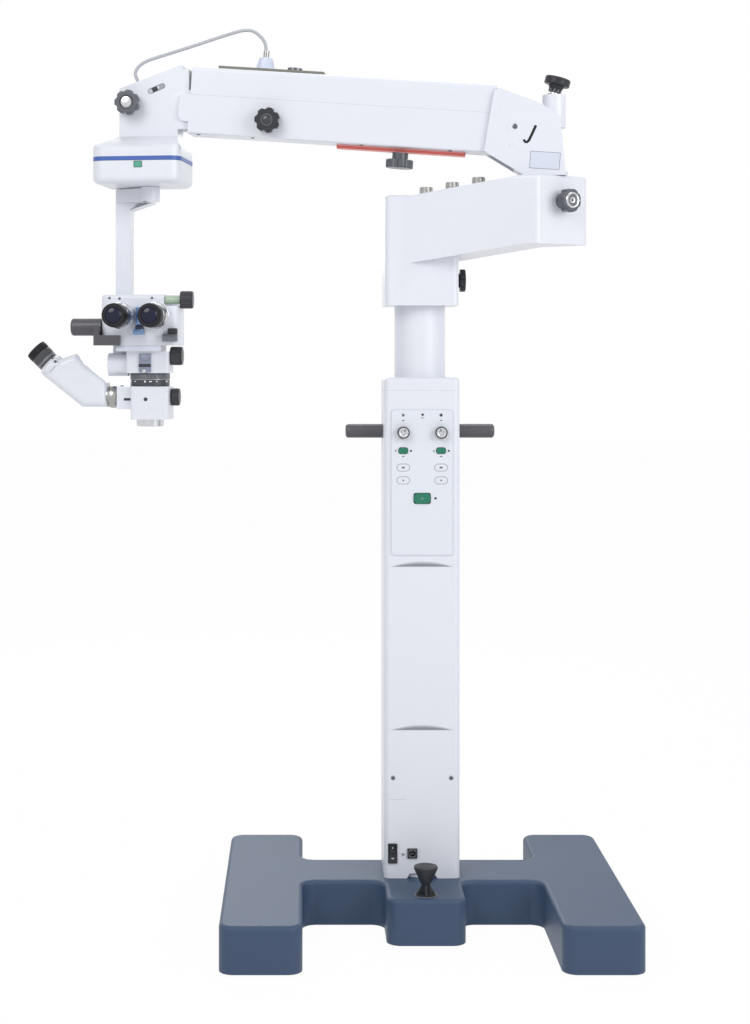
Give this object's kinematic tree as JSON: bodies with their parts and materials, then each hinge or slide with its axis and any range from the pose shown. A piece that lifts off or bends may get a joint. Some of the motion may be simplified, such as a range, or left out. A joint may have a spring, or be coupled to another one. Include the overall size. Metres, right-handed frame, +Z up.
{
  "type": "surgical microscope",
  "caption": "Operating microscope on a floor stand: H-shaped base, square column, swinging head and balanced arm carrying a cross table and a microscope with an assistant scope.",
  "frame": {"origin": "on the floor, where the column's axis meets it", "axes": "+X to the viewer's right, +Y away from the viewer, +Z up"},
  "size_m": [1.2155, 0.655, 1.8282],
  "materials": {
    "blue_grey_enamel": "satin",
    "white_paint": "satin",
    "white_casting": "satin",
    "black_rubber": "matt",
    "black_plastic": "matt",
    "green_plastic": "glossy",
    "blue_plastic": "matt",
    "red_plastic": "glossy",
    "steel": "brushed",
    "plate_metal": "satin",
    "wheel_rubber": "matt"
  },
  "bodies": {
    "stand": {"base_shell": "blue_grey_enamel", "floor_feet": "black_rubber", "column_shell": "white_paint", "column_cap": "white_paint", "column_tube": "white_paint", "control_panel": "white_paint", "side_grips": "black_rubber", "connectors": "black_plastic"},
    "pedal": {"brake_pedal": "black_plastic"},
    "head": {"head_housing": "white_casting", "cap_screws": "steel"},
    "bracket": {"rear_bracket": "white_casting", "rear_pins": "steel"},
    "arm": {"arm_beam": "steel", "arm_lower_cover": "white_casting", "arm_upper_cover": "white_casting", "arm_top_plate": "plate_metal", "cable_boss": "white_casting", "red_rail": "red_plastic", "cable": "black_plastic"},
    "link": {"arm_link": "steel"},
    "knuckle": {"knuckle_housing": "white_casting", "front_pins": "steel", "blue_band": "blue_plastic"},
    "stage": {"x_stage": "steel"},
    "table": {"xy_box": "white_casting"},
    "carrier": {"carrier_arm": "white_casting", "focus_unit": "white_casting"},
    "scope": {"scope_body": "white_casting", "binocular_head": "white_casting", "objective_ring": "black_plastic", "scope_grip": "black_plastic"},
    "assistant": {"assistant_tube": "white_casting"},
    "fork_front_left": {"caster_fork_front_left": "steel"},
    "wheel_front_left": {"caster_wheel_front_left": "wheel_rubber"},
    "fork_front_right": {"caster_fork_front_right": "steel"},
    "wheel_front_right": {"caster_wheel_front_right": "wheel_rubber"},
    "fork_back_left": {"caster_fork_back_left": "steel"},
    "wheel_back_left": {"caster_wheel_back_left": "wheel_rubber"},
    "fork_back_right": {"caster_fork_back_right": "steel"},
    "wheel_back_right": {"caster_wheel_back_right": "wheel_rubber"},
    "dial_left": {"dial_left": "black_plastic"},
    "rocker_left": {"rocker_left": "green_plastic"},
    "dial_right": {"dial_right": "black_plastic"},
    "rocker_right": {"rocker_right": "green_plastic"},
    "main_switch": {"main_switch": "green_plastic"},
    "mains_rocker": {"mains_rocker": "black_plastic"},
    "eyepiece_left": {"eyepiece_left": "black_plastic"},
    "eyepiece_right": {"eyepiece_right": "black_plastic"},
    "zoom_ring": {"zoom_ring": "black_plastic"},
    "assistant_eyepiece": {"assistant_eyepiece": "black_plastic"},
    "head_lock_knob": {"head_lock_knob": "black_plastic"},
    "pivot_lock_knob": {"pivot_lock_knob": "black_plastic"},
    "balance_knob": {"balance_knob": "black_plastic"},
    "side_knob": {"side_knob": "black_plastic"},
    "under_knob": {"under_knob": "black_plastic"},
    "knuckle_knob": {"knuckle_knob": "black_plastic"},
    "tilt_knob": {"tilt_knob": "black_plastic"},
    "magnification_knob": {"magnification_knob": "black_plastic"},
    "filter_knob": {"filter_knob": "black_plastic"}
  },
  "joints": [
    {"name": "pedal_press", "type": "slide", "parent": "stand", "child": "pedal", "axis": [0, 0, 1], "range_m": [-0.012, 0], "stiffness_N_per_m": 800, "springref_m": 0.006},
    {"name": "swivel_front_left", "type": "hinge", "parent": "stand", "child": "fork_front_left", "pos_m": [-0.3215, -0.33, 0.06], "axis": [0, 0, 1], "continuous": true},
    {"name": "roll_front_left", "type": "hinge", "parent": "fork_front_left", "child": "wheel_front_left", "pos_m": [-0.3035, -0.33, 0.025], "axis": [0, 1, 0], "continuous": true},
    {"name": "swivel_front_right", "type": "hinge", "parent": "stand", "child": "fork_front_right", "pos_m": [0.3215, -0.33, 0.06], "axis": [0, 0, 1], "continuous": true},
    {"name": "roll_front_right", "type": "hinge", "parent": "fork_front_right", "child": "wheel_front_right", "pos_m": [0.3395, -0.33, 0.025], "axis": [0, 1, 0], "continuous": true},
    {"name": "swivel_back_left", "type": "hinge", "parent": "stand", "child": "fork_back_left", "pos_m": [-0.3215, 0.209, 0.06], "axis": [0, 0, 1], "continuous": true},
    {"name": "roll_back_left", "type": "hinge", "parent": "fork_back_left", "child": "wheel_back_left", "pos_m": [-0.3035, 0.209, 0.025], "axis": [0, 1, 0], "continuous": true},
    {"name": "swivel_back_right", "type": "hinge", "parent": "stand", "child": "fork_back_right", "pos_m": [0.3215, 0.209, 0.06], "axis": [0, 0, 1], "continuous": true},
    {"name": "roll_back_right", "type": "hinge", "parent": "fork_back_right", "child": "wheel_back_right", "pos_m": [0.3395, 0.209, 0.025], "axis": [0, 1, 0], "continuous": true},
    {"name": "dial_left_turn", "type": "hinge", "parent": "stand", "child": "dial_left", "pos_m": [-0.0384, -0.077, 1], "axis": [0, -1, 0], "range_deg": [-135, 135]},
    {"name": "rocker_left_tilt", "type": "hinge", "parent": "stand", "child": "rocker_left", "pos_m": [-0.0384, -0.077, 0.963], "axis": [0, 0, 1], "range_deg": [-7, 7]},
    {"name": "dial_right_turn", "type": "hinge", "parent": "stand", "child": "dial_right", "pos_m": [0.0384, -0.077, 1], "axis": [0, -1, 0], "range_deg": [-135, 135]},
    {"name": "rocker_right_tilt", "type": "hinge", "parent": "stand", "child": "rocker_right", "pos_m": [0.0384, -0.077, 0.963], "axis": [0, 0, 1], "range_deg": [-7, 7]},
    {"name": "main_switch_tilt", "type": "hinge", "parent": "stand", "child": "main_switch", "pos_m": [0, -0.077, 0.866], "axis": [0, 0, 1], "range_deg": [-7, 7]},
    {"name": "mains_rocker_tilt", "type": "hinge", "parent": "stand", "child": "mains_rocker", "pos_m": [-0.06, -0.078, 0.154], "axis": [1, 0, 0], "range_deg": [-7, 7]},
    {"name": "head_swing", "type": "hinge", "parent": "stand", "child": "head", "pos_m": [0, 0, 1.258], "axis": [0, 0, 1], "range_deg": [-150, 150]},
    {"name": "bracket_swing", "type": "hinge", "parent": "head", "child": "bracket", "pos_m": [0.25012, -0.11188, 1.5153], "axis": [0, 0, 1], "range_deg": [-60, 60]},
    {"name": "arm_pitch", "type": "hinge", "parent": "bracket", "child": "arm", "pos_m": [0.18012, -0.10267, 1.6133], "axis": [0.1305, 0.9914, 0], "range_deg": [-12, 17]},
    {"name": "link_pitch", "type": "hinge", "parent": "bracket", "child": "link", "pos_m": [0.18012, -0.10267, 1.5753], "axis": [0.1305, 0.9914, 0], "range_deg": [-12, 17]},
    {"name": "knuckle_level", "type": "hinge", "parent": "arm", "child": "knuckle", "pos_m": [-0.47716, -0.01614, 1.66548], "axis": [0.1305, 0.9914, 0], "range_deg": [-17, 12], "deforming": ["cable"]},
    {"name": "stage_x", "type": "slide", "parent": "knuckle", "child": "stage", "axis": [0.9914, -0.1305, 0], "range_m": [-0.02, 0.02]},
    {"name": "table_y", "type": "slide", "parent": "stage", "child": "table", "axis": [0.1305, 0.9914, 0], "range_m": [-0.02, 0.02]},
    {"name": "carrier_swing", "type": "hinge", "parent": "table", "child": "carrier", "pos_m": [-0.55912, 0.00484, 1.50568], "axis": [0, 0, 1], "range_deg": [-90, 90]},
    {"name": "focus", "type": "slide", "parent": "carrier", "child": "scope", "axis": [0, 0, 1], "range_m": [-0.02, 0.02]},
    {"name": "assistant_turn", "type": "hinge", "parent": "scope", "child": "assistant", "pos_m": [-0.64585, 0.01167, 1.07068], "axis": [0.9969, -0.0785, 0], "range_deg": [-60, 60]},
    {"name": "eyepiece_left_slide", "type": "slide", "parent": "scope", "child": "eyepiece_left", "axis": [-0.9969, 0.0785, 0], "range_m": [-0.007, 0.003]},
    {"name": "eyepiece_right_slide", "type": "slide", "parent": "scope", "child": "eyepiece_right", "axis": [0.9969, -0.0785, 0], "range_m": [-0.007, 0.003]},
    {"name": "zoom_turn", "type": "hinge", "parent": "scope", "child": "zoom_ring", "pos_m": [-0.55912, 0.00484, 1.09268], "axis": [0, 0, 1], "range_deg": [-60, 60]},
    {"name": "assistant_focus", "type": "hinge", "parent": "assistant", "child": "assistant_eyepiece", "pos_m": [-0.7615, 0.02077, 1.13158], "axis": [-0.7049, 0.0555, 0.7071], "range_deg": [-60, 60]},
    {"name": "head_lock_knob_turn", "type": "hinge", "parent": "head", "child": "head_lock_knob", "pos_m": [0.075, 0, 1.311], "axis": [1, 0, 0], "range_deg": [-180, 180]},
    {"name": "pivot_lock_knob_turn", "type": "hinge", "parent": "head", "child": "pivot_lock_knob", "pos_m": [0.27169, -0.15549, 1.463], "axis": [0.5029, -0.8643, 0], "range_deg": [-180, 180]},
    {"name": "balance_knob_turn", "type": "hinge", "parent": "bracket", "child": "balance_knob", "pos_m": [0.26201, -0.11345, 1.6793], "axis": [0.2566, -0.0338, 0.9659], "range_deg": [-180, 180]},
    {"name": "side_knob_turn", "type": "hinge", "parent": "arm", "child": "side_knob", "pos_m": [-0.31199, -0.07419, 1.63233], "axis": [-0.1305, -0.9914, 0], "range_deg": [-180, 180]},
    {"name": "under_knob_turn", "type": "hinge", "parent": "arm", "child": "under_knob", "pos_m": [-0.04424, -0.07313, 1.56741], "axis": [-0.0778, 0.0102, -0.9969], "range_deg": [-180, 180]},
    {"name": "knuckle_knob_turn", "type": "hinge", "parent": "knuckle", "child": "knuckle_knob", "pos_m": [-0.59806, -0.03048, 1.67348], "axis": [-0.1305, -0.9914, 0], "range_deg": [-180, 180]},
    {"name": "tilt_knob_turn", "type": "hinge", "parent": "scope", "child": "tilt_knob", "pos_m": [-0.52469, -0.042, 1.27018], "axis": [0.9969, -0.0785, 0], "range_deg": [-180, 180]},
    {"name": "magnification_knob_turn", "type": "hinge", "parent": "scope", "child": "magnification_knob", "pos_m": [-0.51483, -0.0187, 1.15518], "axis": [0.9969, -0.0785, 0], "range_deg": [-180, 180]},
    {"name": "filter_knob_turn", "type": "hinge", "parent": "scope", "child": "filter_knob", "pos_m": [-0.51526, 0.00139, 1.07018], "axis": [0.9969, -0.0785, 0], "range_deg": [-180, 180]}
  ],
  "couplings": [
    {"joint": "link_pitch", "follows": "arm_pitch", "ratio": 1},
    {"joint": "knuckle_level", "follows": "arm_pitch", "ratio": -1},
    {"joint": "eyepiece_right_slide", "follows": "eyepiece_left_slide", "ratio": 1}
  ]
}
